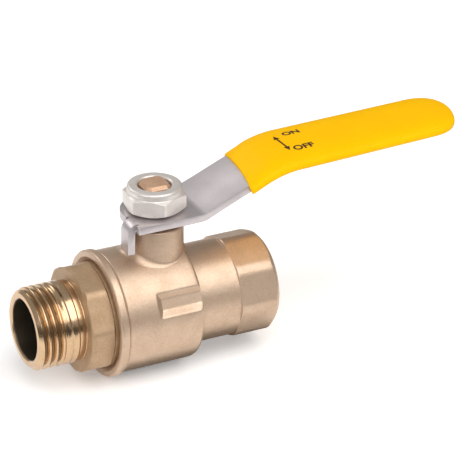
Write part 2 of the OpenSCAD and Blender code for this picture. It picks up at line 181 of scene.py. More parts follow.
class ValveLever(bpy.types.PropertyGroup):
    thickness: length("Thickness", "Thickness of the pressed plate", 1.9)
    edge: length("Edge", "Rounding of the pressed edges", 0.32)
    bend_start: length("Bend start", "Distance from the stem to the first bend", 9.0)
    bend_radius: length("Bend radius", "Radius of the first bend", 3.0)
    rise: angle("Rise", "Slope between the two bends", 23)
    rise_length: length("Rise length", "Length between the two bends", 18.5)
    crest_radius: length("Crest radius", "Radius of the second bend", 24.0)
    grip_slope: angle("Grip slope", "Slope of the grip", 1.84)
    sleeve_start: length("Sleeve start", "Distance from the stem to the mouth of the sleeve", 22.8)
    mouth_width: length("Mouth width", "Width of the sleeve at its mouth", 19.0)
    grip_width: length("Grip width", "Width of the sleeve at the start of the grip", 20.35)
    tip_width: length("Tip width", "Width of the sleeve before its round tip", 19.5)
    sleeve_height: length("Sleeve height", "Thickness of the sleeved grip", 4.8)
    tip_length: length("Tip length", "Length of the round tip", 9.4)
    tip_skew: length("Tip skew", "How far each side of the tip is pulled back or forward", 0.93)


class ValveNut(bpy.types.PropertyGroup):
    half_flat: length("Half flat", "Half the width across the flats", 7.0)
    height: length("Height", "Height of the nut", 6.7)
    hexagon: length("Hexagon", "Height of the hexagon at its corners", 4.2)
    collar: length("Collar", "Radius of the round collar over the hexagon", 6.9)
    turn: angle("Turn", "Turn of the tightened nut", 23)
    bore_radius: length("Bore", "Radius of the threaded hole", 4.2)
    square_half: length("Square half", "Half the width of the driving square of the stem", 3.4)


class ValveFinish(bpy.types.PropertyGroup):
    cast_brass: colour("Cast brass", "Colour of the blasted body", (0.65, 0.485, 0.36))
    turned_brass: colour("Turned brass", "Colour of the turned thread", (0.66, 0.465, 0.29))
    collar_brass: colour("Collar brass", "Colour of the collar flats", (0.50, 0.345, 0.215))
    stem_brass: colour("Stem brass", "Colour of the stem", (0.68, 0.44, 0.29))
    plate_zinc: colour("Plated lever", "Colour of the plated lever", (0.60, 0.55, 0.555))
    nut_zinc: colour("Plated nut", "Colour of the plated nut", (0.77, 0.72, 0.68))
    sleeve: colour("Sleeve", "Colour of the plastic sleeve", (0.94, 0.51, 0.0))
    ink: colour("Ink", "Colour of the printed words", (0.07, 0.022, 0.0))


# Shapes


def softened(rows):
    """Closed outline through corner rows [along, out, cut, spacing], the last two in millimetres.

    Each corner is replaced by the parabola that starts and ends a cut away from it, and every
    straight run is then divided into equal steps no longer than the spacing of its first corner.
    """
    rows = np.array(rows, float) * [1, 1, MM, MM]
    corner, cut, spacing = rows[:, :2], rows[:, 2], rows[:, 3]
    ahead = np.roll(corner, -1, 0) - corner
    ahead_length = np.linalg.norm(ahead, axis=1)
    forward = ahead / ahead_length[:, None]
    backward = -np.roll(forward, 1, 0)
    u = np.linspace(0, 1, 5)[None, :, None]
    start = (corner + backward * cut[:, None])[:, None]
    end = (corner + forward * cut[:, None])[:, None]
    path = ((1 - u) ** 2 * start + 2 * u * (1 - u) * corner[:, None] + u**2 * end).reshape(-1, 2)
    spacing = np.repeat(spacing, 5)
    step = np.roll(path, -1, 0) - path
    count = np.ceil(np.linalg.norm(step, axis=1) / spacing - 1e-6).astype(int)
    index = np.repeat(np.arange(len(path)), count)
    part = (np.arange(count.sum()) - np.repeat(np.cumsum(count) - count, count)) / count[index]
    return path[index] + step[index] * part[:, None]


def polygon_limit(theta, half, flats, turn, power=70.0):
    """Distance to the side of a regular prism: the power mean of the distances to its flats.

    Each flat is half over the cosine of the angle from its normal, and the high power leaves
    only a small round at the corners.
    """
    normals = turn + TURN * np.arange(flats) / flats
    facing = np.maximum(np.cos(theta[..., None] - normals), 0.02)
    return half * np.sum(facing**power, axis=-1) ** (-1 / power)


def soft_min(a, b, blend):
    """The lesser of two distances, with a parabola of the given width where they cross."""
    share = np.clip(0.5 + 0.5 * (b - a) / blend, 0, 1)
    return b + (a - b) * share - blend * share * (1 - share)


def smooth(x):
    """Smooth step: three x squared less two x cubed, held between 0 and 1."""
    x = np.clip(x, 0, 1)
    return x * x * (3 - 2 * x)


def superellipse(count, power):
    """Cosine and sine of each angle to the power 2/n, with their signs: n = 2 is round, and a
    higher n squarer."""
    theta = np.linspace(0, TURN, count, endpoint=False)[None]
    c, s = np.cos(theta), np.sin(theta)
    return np.sign(c) * np.abs(c) ** (2 / power), np.sign(s) * np.abs(s) ** (2 / power)


def thread_wave(along, theta, pitch):
    """Share of the thread's depth: half of one less the cosine of a helix of that pitch."""
    return 0.5 - 0.5 * np.cos(TURN * (along / pitch - theta / TURN))


def round_pipe(along, out, theta):
    """Points at a distance along the pipe, a radius, and an angle from +Y towards +Z."""
    return np.stack(np.broadcast_arrays(along, out * np.cos(theta), out * np.sin(theta)), -1)


def round_stem(height, out, theta):
    """Points at a height, a radius, and an angle about the stem from +X towards +Y."""
    return np.stack(
        np.broadcast_arrays(STEM_X + out * np.cos(theta), out * np.sin(theta), height), -1
    )


def grid_faces(rows, columns, rows_closed, columns_closed):
    """Quads between neighbouring rows and columns of a grid of points."""
    i = np.arange(rows if rows_closed else rows - 1)[:, None]
    j = np.arange(columns if columns_closed else columns - 1)[None, :]
    a = i * columns + j
    b = (i + 1) % rows * columns + j
    c = (i + 1) % rows * columns + (j + 1) % columns
    d = i * columns + (j + 1) % columns
    return np.stack([a, b, c, d], -1).reshape(-1, 4)


def surface(name, points, rows_closed=True, columns_closed=True, sharp=40.0):
    """Mesh object from a grid of points, welded at its poles and facing outwards."""
    if not np.isfinite(points).all():
        raise ValueError(f"{name}: the formula gives no place for some points")
    rows, columns = points.shape[:2]
    faces = grid_faces(rows, columns, rows_closed, columns_closed)
    mesh = bpy.data.meshes.new(name)
    mesh.vertices.add(rows * columns)
    mesh.vertices.foreach_set("co", points.reshape(-1).astype(np.float32))
    mesh.loops.add(faces.size)
    mesh.loops.foreach_set("vertex_index", faces.reshape(-1).astype(np.int32))
    mesh.polygons.add(len(faces))
    mesh.polygons.foreach_set("loop_start", np.arange(0, faces.size, 4, dtype=np.int32))
    mesh.update(calc_edges=True)
    with editing(mesh) as work:
        bmesh.ops.remove_doubles(work, verts=work.verts, dist=WELD)
        bmesh.ops.recalc_face_normals(work, faces=work.faces)
    smooth_faces(mesh, sharp)
    mesh.validate()
    return linked(name, mesh)


def smooth_faces(mesh, sharp):
    """Shades a mesh smooth except where its faces meet at more than the sharp angle."""
    mesh.shade_smooth()
    mesh.set_sharp_from_angle(angle=math.radians(sharp))


@contextmanager
def editing(mesh):
    """Opens a mesh for changes and writes them back."""
    work = bmesh.new()
    work.from_mesh(mesh)
    yield work
    work.to_mesh(mesh)
    work.free()


def linked(name, data):
    """A new object in the scene, with its data."""
    item = bpy.data.objects.new(name, data)
    bpy.context.scene.collection.objects.link(item)
    return item


def add_piece(piece, body, slot, material, *replaced):
    """Gives a piece its body, its material and the solids that it stands for. The slot is not used."""
    piece.data.materials.clear()
    piece.data.materials.append(material)
    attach(piece, body)
    if replaced:
        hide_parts(*replaced)


def gathered(parts, key):
    """One three-valued property of all vertices or faces of a mesh, as an array."""
    values = np.empty(len(parts) * 3, np.float32)
    parts.foreach_get(key, values)
    return values.reshape(-1, 3)


def give_faces(piece, chosen, finish):
    """Gives the chosen faces another finish."""
    mesh = piece.data
    mesh.materials.append(MATERIALS[finish])
    index = np.empty(len(mesh.polygons), np.int32)
    mesh.polygons.foreach_get("material_index", index)
    index[chosen] = len(mesh.materials) - 1
    mesh.polygons.foreach_set("material_index", index)
    mesh.update()


def apply_modifiers(piece):
    """Leaves the finished mesh on the piece in place of its modifiers."""
    bpy.context.view_layer.update()
    evaluated = piece.evaluated_get(bpy.context.evaluated_depsgraph_get())
    finished = bpy.data.meshes.new_from_object(evaluated)
    if not finished.polygons:
        raise RuntimeError(f"{piece.name}: its modifiers left no faces")
    piece.modifiers.clear()
    piece.data = finished


# Materials

# Sockets of a Mix node by number, as several share a name: factor, first, second and result
MIX_SOCKETS = {"FLOAT": (0, 2, 3, 0), "RGBA": (0, 6, 7, 2)}
GROUPS = {}
MATERIALS = {}


class Nodes:
    """Short ways to add and join the nodes of one tree."""

    def __init__(self, tree):
        self.tree = tree

    def feed(self, value, socket):
        """Joins another node's output to a socket, or sets the socket's value."""
        if isinstance(value, bpy.types.NodeSocket):
            self.tree.links.new(value, socket)
        else:
            socket.default_value = value

    def add(self, kind, place, inputs=None, **settings):
        """A node at a place of the editor, with its settings, and its inputs by name or number."""
        node = self.tree.nodes.new(kind)
        node.location = place
        for key, value in settings.items():
            setattr(node, key, value)
        for key, value in (inputs or {}).items():
            self.feed(value, node.inputs[key])
        return node

    def mix(self, kind, place, factor, first, second):
        """Result of a Mix node."""
        *sockets, result = MIX_SOCKETS[kind]
        inputs = dict(zip(sockets, (factor, first, second)))
        return self.add("ShaderNodeMix", place, inputs, data_type=kind).outputs[result]

    def larger(self, place, first, second):
        """Larger of two values."""
        return self.add("ShaderNodeMath", place, {0: first, 1: second}, operation="MAXIMUM").outputs[0]

    def noise(self, place, vector, scale, detail, roughness):
        """Noise of a scale, between 0 and 1."""
        inputs = {"Vector": vector, "Scale": scale, "Detail": detail, "Roughness": roughness}
        return self.add("ShaderNodeTexNoise", place, inputs).outputs["Fac"]

    def bump(self, place, height, millimetres, normal=None):
        """Normal turned by a height whose whole range stands for so many millimetres."""
        inputs = {"Strength": 1.0, "Distance": millimetres * MM, "Height": height}
        if normal is not None:
            inputs["Normal"] = normal
        return self.add("ShaderNodeBump", place, inputs).outputs["Normal"]


def new_group(name, inputs, outputs):
    """A shader node group with named inputs [name, kind, default] and outputs [name, kind]."""
    tree = bpy.data.node_groups.new(name, "ShaderNodeTree")
    for label, kind, default in inputs:
        socket = tree.interface.new_socket(label, in_out="INPUT", socket_type=kind)
        if default is not None:
            socket.default_value = default
    for label, kind in outputs:
        tree.interface.new_socket(label, in_out="OUTPUT", socket_type=kind)
    nodes = Nodes(tree)
    return tree, nodes, nodes.add("NodeGroupInput", (-900, 0)), nodes.add("NodeGroupOutput", (600, 0))


def new_material(name):
    """A material, its nodes and its shader."""
    material = bpy.data.materials.new(name)
    material.use_nodes = True
    return material, Nodes(material.node_tree), material.node_tree.nodes["Principled BSDF"]


def tone_group():
    """Two tones mixed by soft patches and fine specks, with a height for the grain between."""
    tree, nodes, source, target = new_group(
        "Metal tone",
        [
            ["Vector", "NodeSocketVector", None],
            ["Tone", "NodeSocketColor", (0.5, 0.5, 0.5, 1)],
            ["Dark tone", "NodeSocketColor", (0.3, 0.3, 0.3, 1)],
            ["Patch scale", "NodeSocketFloat", 150.0],
            ["Speck scale", "NodeSocketFloat", 2500.0],
            ["Speck share", "NodeSocketFloat", 0.5],
        ],
        [["Color", "NodeSocketColor"], ["Fac", "NodeSocketFloat"], ["Height", "NodeSocketFloat"]],
    )
    given = source.outputs
    patch = nodes.noise((-650, 200), given["Vector"], given["Patch scale"], 3.0, 0.55)
    speck = nodes.noise((-650, -100), given["Vector"], given["Speck scale"], 2.0, 0.6)
    mixed = nodes.mix("FLOAT", (-400, 100), given["Speck share"], patch, speck)
    # Noise stays near its middle, so the middle third of its range is spread over both tones
    share = nodes.add("ShaderNodeMapRange", (-200, 100), {"Value": mixed, "From Min": 0.33, "From Max": 0.67})
    share = share.outputs[0]
    tone = nodes.mix("RGBA", (50, 200), share, given["Dark tone"], given["Tone"])
    for value, name in ((tone, "Color"), (share, "Fac"), (speck, "Height")):
        nodes.feed(value, target.inputs[name])
    return tree


def turning_group():
    """Fine rings of a turning tool: noise that runs quickly along one axis and not across it."""
    tree, nodes, source, target = new_group(
        "Turning marks",
        [["Vector", "NodeSocketVector", None], ["Scale", "NodeSocketVector", (4000.0, 20.0, 20.0)]],
        [["Height", "NodeSocketFloat"]],
    )
    inputs = {0: source.outputs["Vector"], 1: source.outputs["Scale"]}
    stretched = nodes.add("ShaderNodeVectorMath", (-500, 0), inputs, operation="MULTIPLY").outputs[0]
    nodes.feed(nodes.noise((-250, 0), stretched, 1.0, 2.0, 0.5), target.inputs["Height"])
    return tree


def finish_of(name, tone, dark, metallic, roughness, patch, speck, share, grain, turning=None, marks=0.0):
    """Two tones, a roughness that runs from one to the other, grain, and turning marks if given."""
    material, nodes, shader = new_material(name)
    place = nodes.add("ShaderNodeTexCoord", (-1300, 0)).outputs["Object"]
    inputs = {
        "Vector": place,
        "Tone": (*tone, 1),
        "Dark tone": (*(c * d for c, d in zip(tone, dark)), 1),
        "Patch scale": patch,
        "Speck scale": speck,
        "Speck share": share,
    }
    tones = nodes.add("ShaderNodeGroup", (-900, 200), inputs, node_tree=GROUPS["tone"]).outputs
    inputs = {"Value": tones["Fac"], "To Min": roughness[1], "To Max": roughness[0]}
    rough = nodes.add("ShaderNodeMapRange", (-500, -50), inputs).outputs[0]
    normal = nodes.bump((-450, -350), tones["Height"], grain)
    if turning:
        inputs = {"Vector": place, "Scale": turning}
        rings = nodes.add("ShaderNodeGroup", (-700, -600), inputs, node_tree=GROUPS["turning"])
        normal = nodes.bump((-250, -500), rings.outputs["Height"], marks, normal)
    nodes.feed(tones["Color"], shader.inputs["Base Color"])
    nodes.feed(metallic, shader.inputs["Metallic"])
    nodes.feed(rough, shader.inputs["Roughness"])
    nodes.feed(normal, shader.inputs["Normal"])
    return material


def make_materials(finish):
    """All finishes of the valve, from the colours of the finish settings."""
    GROUPS["tone"] = tone_group()
    GROUPS["turning"] = turning_group()
    # Key, name, tone and how far the dark tone falls below it, and then metallic, the roughness of
    # both tones, patch scale, speck scale, speck share, grain in millimetres, and where the piece
    # is turned the scale of its marks on each axis and their height in millimetres
    along = (3500.0, 15.0, 15.0)
    for key, *values in (
        ("cast_brass", "Blasted cast brass", finish.cast_brass, (0.80, 0.76, 0.70),
         0.72, (0.36, 0.46), 260.0, 2600.0, 0.55, 0.035),
        ("turned_brass", "Turned brass", finish.turned_brass, (0.86, 0.80, 0.72),
         1.0, (0.17, 0.25), 200.0, 1800.0, 0.4, 0.004, along, 0.003),
        ("collar_brass", "Collar brass", finish.collar_brass, (0.80, 0.74, 0.66),
         0.55, (0.42, 0.52), 220.0, 2000.0, 0.5, 0.020),
        # The bore's near-black tone is painted shade: the dark inside of the passage is put into its colour
        ("bore", "Stained bore", (0.10, 0.075, 0.05), (0.7, 0.7, 0.7),
         0.8, (0.35, 0.5), 200.0, 1800.0, 0.4, 0.006, along, 0.008),
        # The dark root colour is painted shade: the shade that falls between the crests of the thread
        ("thread_root", "Dull thread root", (0.26, 0.17, 0.09), (0.8, 0.75, 0.7),
         0.8, (0.3, 0.42), 220.0, 2000.0, 0.5, 0.006),
        ("stem_brass", "Stem brass", finish.stem_brass, (0.78, 0.72, 0.66),
         0.45, (0.34, 0.46), 500.0, 2600.0, 0.5, 0.015),
        ("plate_zinc", "Plated steel plate", finish.plate_zinc, (0.88, 0.87, 0.86),
         0.7, (0.30, 0.40), 180.0, 2200.0, 0.45, 0.010),
        ("nut_zinc", "Plated steel nut", finish.nut_zinc, (0.86, 0.84, 0.82),
         0.5, (0.30, 0.42), 260.0, 2400.0, 0.4, 0.008),
        ("ball_chrome", "Chromed ball", (0.62, 0.62, 0.63), (0.93, 0.93, 0.94),
         1.0, (0.06, 0.12), 120.0, 1500.0, 0.3, 0.001),
        ("seat_white", "White seat plastic", (0.80, 0.80, 0.77), (0.93, 0.93, 0.92),
         0.0, (0.34, 0.44), 220.0, 2200.0, 0.4, 0.004),
        ("seal_black", "Black seal rubber", (0.022, 0.022, 0.023), (0.7, 0.7, 0.7),
         0.0, (0.48, 0.62), 400.0, 3000.0, 0.5, 0.006),
        ("sleeve", "Dipped yellow plastic", finish.sleeve, (0.95, 0.91, 1.0),
         0.0, (0.40, 0.50), 110.0, 1400.0, 0.35, 0.012),
        ("ink", "Printed ink", finish.ink, (0.75, 0.7, 0.7),
         0.0, (0.40, 0.52), 900.0, 4000.0, 0.6, 0.003),
    ):
        MATERIALS[key] = finish_of(*values)
    # The dipped plastic is all but matt, so that its own yellow shows and not the light above it
    sleeve = MATERIALS["sleeve"].node_tree.nodes["Principled BSDF"]
    sleeve.inputs["Specular IOR Level"].default_value = 0.05


# Operators


class VALVE_OT_camera(bpy.types.Operator):
    """Sets the camera by its angles, distance and aim, as solved from the image points"""

    bl_idname = "valve.camera"
    bl_label = "Camera"

    def execute(self, context):
        view = context.scene.valve_camera
        side, tip = math.sin(view.azimuth), math.cos(view.azimuth)
        low, high = math.cos(view.elevation), math.sin(view.elevation)
        back = Vector((-side * low, -tip * low, high))
        right = Vector((tip, -side, 0))
        up = back.cross(right)
        turned_right = right * math.cos(view.roll) + up * math.sin(view.roll)
        turned_up = up * math.cos(view.roll) - right * math.sin(view.roll)
        middle = Vector((30, 0, 10)) * MM
        place = middle + back * view.distance + turned_right * view.aim_right + turned_up * view.aim_up
        data = bpy.data.cameras.new("Camera")
        data.lens = view.lens
        data.sensor_width = 36
        data.sensor_fit = "AUTO"
        data.clip_start = 0.01
        data.clip_end = 20
        camera = linked("Camera", data)
        camera.matrix_world = Matrix(
            (
                (turned_right.x, turned_up.x, back.x, place.x),
                (turned_right.y, turned_up.y, back.y, place.y),
                (turned_right.z, turned_up.z, back.z, place.z),
                (0, 0, 0, 1),
            )
        )
        context.scene.camera = camera
        return {"FINISHED"}


class VALVE_OT_finishes(bpy.types.Operator):
    """Makes the finishes and gives the hidden solids theirs"""

    bl_idname = "valve.finishes"
    bl_label = "Finishes"

    def execute(self, context):
        make_materials(context.scene.valve_finish)
        hidden = {
            "ball": "ball_chrome",
            "seat_male": "seat_white",
            "seat_female": "seat_white",
            "thrust_washer": "seat_white",
            "stem_seal_lower": "seal_black",
            "stem_seal_upper": "seal_black",
        }
        for node, finish in hidden.items():
            solid = frame["nodes"][node]
            solid.data.materials.clear()
            solid.data.materials.append(MATERIALS[finish])
        return {"FINISHED"}


class VALVE_OT_male_end(bpy.types.Operator):
    """Turns the adapter: threaded male end, relief, octagonal collar, spigot and bore"""

    bl_idname = "valve.male_end"
    bl_label = "Male end"

    def execute(self, context):
        # Closed outline turned about the pipe. On the thread each radius is held under the outside
        # less the wave of the helix, and on the collar inside the eight flats.
        pipe = context.scene.valve_pipe
        outside, collar, joint = pipe.thread_radius, pipe.collar_start, pipe.joint_radius
        run_out = pipe.thread_end
        relief = outside - 0.3 * MM
        wide = pipe.collar_flat / math.cos(TURN / 16) - 0.25 * MM
        chamfer = wide - 0.9 * MM
        back = BODY_X - 0.4 * MM
        spigot = joint - 0.05 * MM
        end = ADAPTER_X
        pocket = end - 4.2 * MM
        rows = [
            [0.0, pipe.bore_radius + 0.5 * MM, 0.15, 0.4],
            [0.0, outside - 1.25 * MM, 0.2, 0.09],
            [1.15 * MM, outside, 0.12, 0.09],
            [run_out, outside, 0.05, 0.12],
            [run_out + 0.3 * MM, relief, 0.1, 0.2],
            [collar, relief, 0.2, 0.3],
            [collar, chamfer, 0.08, 0.1],
            [collar + 0.5 * MM, wide, 0.12, 0.25],
            [BODY_X - 0.9 * MM, wide, 0.12, 0.1],
            [back, chamfer, 0.08, 0.3],
            [back, joint, 0.1, 0.3],
            [BODY_X, joint, 0.01, 0.5],
            [BODY_X, spigot, 0.01, 2.0],
            [end - 0.6 * MM, spigot, 0.05, 0.3],
            [end, joint - 0.6 * MM, 0.05, 1.0],
            [end, SEAT_POCKET, 0.05, 2.0],
            [pocket, SEAT_POCKET, 0.05, 1.0],
            [pocket, pipe.bore_radius, 0.05, 3.0],
            [0.5 * MM, pipe.bore_radius, 0.1, 0.2],
        ]
        outline = softened(rows)
        theta = np.linspace(0, TURN, 256, endpoint=False)[None]
        along, out = outline[:, :1], outline[:, 1:]
        threaded = (out > outside - 1.4 * MM) & (along < run_out + 0.8 * MM)
        # The cutter leaves the work slowly, so the last turns are shallow
        fade = smooth((run_out + 0.3 * MM - along) / (0.8 * MM))
        fade = fade * np.interp(along, [5.8 * MM, 7.6 * MM, run_out], [1.0, 0.25, 0.08])
        wave = thread_wave(along, theta, pipe.pitch) * pipe.thread_depth * fade
        shape = np.where(threaded, soft_min(out, outside - wave, 0.12 * MM), out)
        flats = polygon_limit(theta, pipe.collar_flat, 8, pipe.collar_turn)
        on_collar = (along > collar - NEAR) & (along < back + 5 * NEAR) & (out > joint)
        shape = np.where(on_collar, soft_min(out, flats, 0.18 * MM), shape)
        piece = surface("male_end", round_pipe(along, shape, theta))
        add_piece(piece, "valve_body", "adapter_brass", MATERIALS["turned_brass"], "end_adapter")
        along, y, z = gathered(piece.data.polygons, "center").T
        radius = np.hypot(y, z)
        give_faces(piece, (along > collar - 0.05 * MM) & (radius > relief - 0.2 * MM), "collar_brass")
        # The faces inside the passage take the painted shade of the bore
        give_faces(piece, radius < pipe.bore_radius + 0.2 * MM, "bore")
        # Painted shade: the roots of the first turns take a darker colour where shade falls between the
        # crests
        root = (radius > outside - 1.4 * MM) & (radius < outside - 0.72 * pipe.thread_depth)
        give_faces(piece, root & (along > 0.9 * MM) & (along < 6.6 * MM), "thread_root")
        return {"FINISHED"}


class VALVE_OT_body(bpy.types.Operator):
    """Casts the body: round shell with lip and sunken panel, neck, octagonal threaded end"""

    bl_idname = "valve.body"
    bl_label = "Body"

    def execute(self, context):
        # Closed outline turned about the pipe. The female end is held inside its eight flats and
        # the round shell inside the sunken panel, and the tapped hole is widened by its helix.
        pipe, cast = context.scene.valve_pipe, context.scene.valve_body
        lip = cast.radius + cast.lip_height
        round_end = BODY_X + cast.round_length
        neck_end = round_end + cast.neck_length
        wide = pipe.end_flat / math.cos(TURN / 16) - 0.4 * MM
        chamber = 12.6 * MM
        joint_end = ADAPTER_X + 0.3 * MM
        tap_start = END_X - pipe.tap_length
        pocket = STEM_X + 11.0 * MM
        panel_start = round_end - cast.panel_length
        rows = [
            [BODY_X + 0.9 * MM, pipe.joint_radius, 0.05, 0.3],
            [BODY_X, pipe.joint_radius + 1.2 * MM, 0.12, 0.2],
            [BODY_X, lip, 0.8, 0.2],
            [BODY_X + 2.1 * MM, lip, 0.3, 0.15],
            [BODY_X + 2.35 * MM, cast.radius - 0.35 * MM, 0.08, 0.12],
            [BODY_X + 2.75 * MM, cast.radius, 0.2, 0.5],
            [panel_start - 2.2 * MM, cast.radius, 0.05, 0.22],
            [panel_start + 0.8 * MM, cast.radius, 0.05, 0.5],
            [round_end, cast.radius, 1.35, 0.18],
            [round_end, cast.neck_radius, 0.45, 1.5],
            [neck_end, cast.neck_radius, 0.12, 0.15],
            [neck_end, wide - 0.2 * MM, 0.08, 0.15],
            [neck_end + 0.3 * MM, wide, 0.08, 1.0],
            [END_X - 1.4 * MM, wide, 0.15, 0.1],
            [END_X, wide - 1.4 * MM, 0.2, 0.25],
            [END_X, pipe.tap_radius + 1.1 * MM, 0.15, 0.12],
            [END_X - 1.1 * MM, pipe.tap_radius, 0.1, 0.2],
            [tap_start, pipe.tap_radius, 0.1, 0.4],
            [tap_start - 0.6 * MM, pipe.bore_radius, 0.1, 1.5],
            [pocket, pipe.bore_radius, 0.05, 1.0],
            [pocket, SEAT_POCKET, 0.05, 1.0],
            [STEM_X + 6.9 * MM, SEAT_POCKET, 0.05, 0.5],
            [STEM_X + 4.0 * MM, 11.95 * MM, 0.6, 0.5],
            [STEM_X, chamber, 0.9, 1.0],
            [joint_end, chamber, 0.05, 0.5],
            [joint_end, pipe.joint_radius, 0.05, 1.5],
        ]
        outline = softened(rows)
        theta = np.linspace(0, TURN, 272, endpoint=False)[None]
        along, out = outline[:, :1], outline[:, 1:]
        outer = out > cast.neck_radius - 0.3 * MM
        flats = polygon_limit(theta, pipe.end_flat, 8, pipe.end_turn)
        on_end = outer & (along > neck_end - NEAR)
        shape = np.where(on_end, soft_min(out, flats, 0.22 * MM), out)
        tapped = (out >= pipe.tap_radius - NEAR) & (out < pipe.tap_radius + 1.2 * MM)
        wave = thread_wave(along, theta, pipe.pitch) * pipe.thread_depth
        shape = np.where(tapped & (along > tap_start), np.maximum(out, pipe.tap_radius + wave), shape)
        panel = self.panel(cast, along, theta, panel_start)
        shape = np.where(outer & (along < round_end + NEAR), soft_min(shape, panel, 0.1 * MM), shape)
        piece = surface("cast_body", round_pipe(along, shape, theta))
        bore = piece.modifiers.new("Stem bore", "BOOLEAN")
        drill = surface("drill", self.drill(cast), False, True)
        bore.object = drill
        bore.operation = "DIFFERENCE"
        bore.solver = "EXACT"
        apply_modifiers(piece)
        bpy.data.objects.remove(drill)
        add_piece(piece, "valve_body", "body_brass", MATERIALS["cast_brass"], "body")
        return {"FINISHED"}

    def panel(self, cast, along, theta, panel_start):
        """Distance from the pipe axis to the sunken panel: the farthest of four planes, which are
        the flat floor, the steep wall above it, the flatter wall below and the wall at its start.
        """
        facing = np.maximum(np.cos(theta - math.pi + cast.panel_tilt), 0.02)
        sideways = np.sin(theta - math.pi + cast.panel_tilt)
        floor = cast.radius - cast.panel_depth
        # How far each wall rises on a step away from the floor
        upper, lower, start = 0.76, 0.54, 0.87
        above = (floor - upper * cast.panel_height / 2) / np.maximum(facing + upper * sideways, 0.02)
        below = (floor - lower * cast.panel_height / 2) / np.maximum(facing - lower * sideways, 0.02)
        before = (floor + start * (panel_start - along)) / facing
        return np.maximum.reduce(np.broadcast_arrays(floor / facing, above, below, before))

    def drill(self, cast):
        """Closed bar of the stem bore: a circle carried up the stem from the chamber."""
        height = np.array([6, 6, 26, 26])[:, None] * MM
        out = np.array([0, 1, 1, 0])[:, None] * cast.bore_radius
        return round_stem(height, out, np.linspace(0, TURN, 64, endpoint=False)[None])


class VALVE_OT_boss(bpy.types.Operator):
    """Casts the stem boss with its fillet, and the stop lug beside it"""

    bl_idname = "valve.boss"
    bl_label = "Boss and stop lug"

    def execute(self, context):
        cast = context.scene.valve_body
        around = np.linspace(0, TURN, 240, endpoint=False)[None]
        piece = surface("stem_boss", self.boss(cast, around))
        add_piece(piece, "valve_body", "body_brass", MATERIALS["cast_brass"], "body")
        lug = surface("stop_lug", self.lug(cast), False, True)
        add_piece(lug, "valve_body", "body_brass", MATERIALS["cast_brass"], "body")
        return {"FINISHED"}

    def boss(self, cast, around):
        """Closed ring about the stem, as a height and a radius at each angle.

        The side rises from a quarter circle whose radius grows with the fifth power of the sine
        of half the angle from +X. It stands on the saddle line, the root of the body radius
        squared less (r sin a) squared.
        """
        fillet = (0.35 * MM + cast.boss_fillet * np.sin(around / 2) ** 5)[0]
        turn = np.linspace(0, math.pi / 2, 13)[:, None]
        foot_r = cast.boss_radius + fillet * (1 - np.sin(turn))
        foot_z = self.saddle(cast, foot_r, around) + fillet * (1 - np.cos(turn)) - 0.03 * MM
        edge = 0.5 * MM
        lip = np.linspace(0, math.pi / 2, 7)[:, None]
        lip_r = np.broadcast_to(cast.boss_radius - edge * (1 - np.cos(lip)), (7, around.size))
        lip_z = np.broadcast_to(BOSS_TOP - edge * (1 - np.sin(lip)), (7, around.size))
        ones = np.ones((1, around.size))
        inner_r = cast.bore_radius
        toe_r, toe_z = foot_r[:1], foot_z[:1] - 1.0 * MM
        radius = np.concatenate(
            [toe_r, foot_r, lip_r, ones * (inner_r + 0.4 * MM), ones * inner_r, ones * inner_r]
        )
        height = np.concatenate(
            [toe_z, foot_z, lip_z, ones * BOSS_TOP, ones * (BOSS_TOP - 0.4 * MM), ones * 13.2 * MM]
        )
        return round_stem(height, radius, np.broadcast_to(around, radius.shape))

    def saddle(self, cast, out, around):
        """Height of the round body under a point at a radius and an angle from the stem."""
        return np.sqrt(cast.radius**2 - (out * np.sin(around)) ** 2)

    def lug(self, cast):
        """Rounded block: superellipse sections in x and y, carried up and closed at both ends."""
        top, base, root = BOSS_TOP - 0.6 * MM, 11.0 * MM, 5.2 * MM
        height = np.array([base, base, top - 0.5 * MM, top - 0.15 * MM, top, top])[:, None]
        share = np.array([0, 1, 1, 0.94, 0.82, 0])[:, None]
        c, s = superellipse(64, 8.0)
        across = cast.lug_half * share * c
        reach = (cast.lug_reach + root) / 2 + (cast.lug_reach - root) / 2 * share * s
        return np.stack(np.broadcast_arrays(STEM_X + across, reach, height), -1)


def lever_path(lever, x):
    """Height and slope of the middle of the lever at a distance from the stem.

    The path is level, turns up on a circle, climbs straight, turns down on a wide circle and
    ends in the slightly rising grip: each stretch is an array formula of x.
    """
    half = lever.thickness / 2
    level = NUT_Z - half
    bend, crest = lever.bend_radius + half, lever.crest_radius + half
    x1 = lever.bend_start
    x2 = x1 + bend * math.sin(lever.rise)
    z2 = level + bend * (1 - math.cos(lever.rise))
    x3 = x2 + lever.rise_length * math.cos(lever.rise)
    z3 = z2 + lever.rise_length * math.sin(lever.rise)
    cx, cz = x3 + crest * math.sin(lever.rise), z3 - crest * math.cos(lever.rise)
    x4 = cx - crest * math.sin(lever.grip_slope)
    z4 = cz + crest * math.cos(lever.grip_slope)
    on_bend = np.sqrt(np.maximum(bend**2 - np.clip(x - x1, 0, bend) ** 2, 1e-12))
    on_crest = np.sqrt(np.maximum(crest**2 - np.clip(x - cx, -crest, 0) ** 2, 1e-12))
    bend_slope = np.arcsin(np.clip((x - x1) / bend, 0, 1))
    crest_slope = np.arcsin(np.clip((cx - x) / crest, 0, 1))
    stretch = [x < x1, x < x2, x < x3, x < x4]
    height = np.select(
        stretch,
        [level + 0 * x, level + bend - on_bend, z2 + (x - x2) * math.tan(lever.rise), cz + on_crest],
        z4 + (x - x4) * math.tan(lever.grip_slope),
    )
    slope = np.select(stretch, [0 * x, bend_slope, lever.rise + 0 * x, crest_slope], lever.grip_slope)
    return height, slope


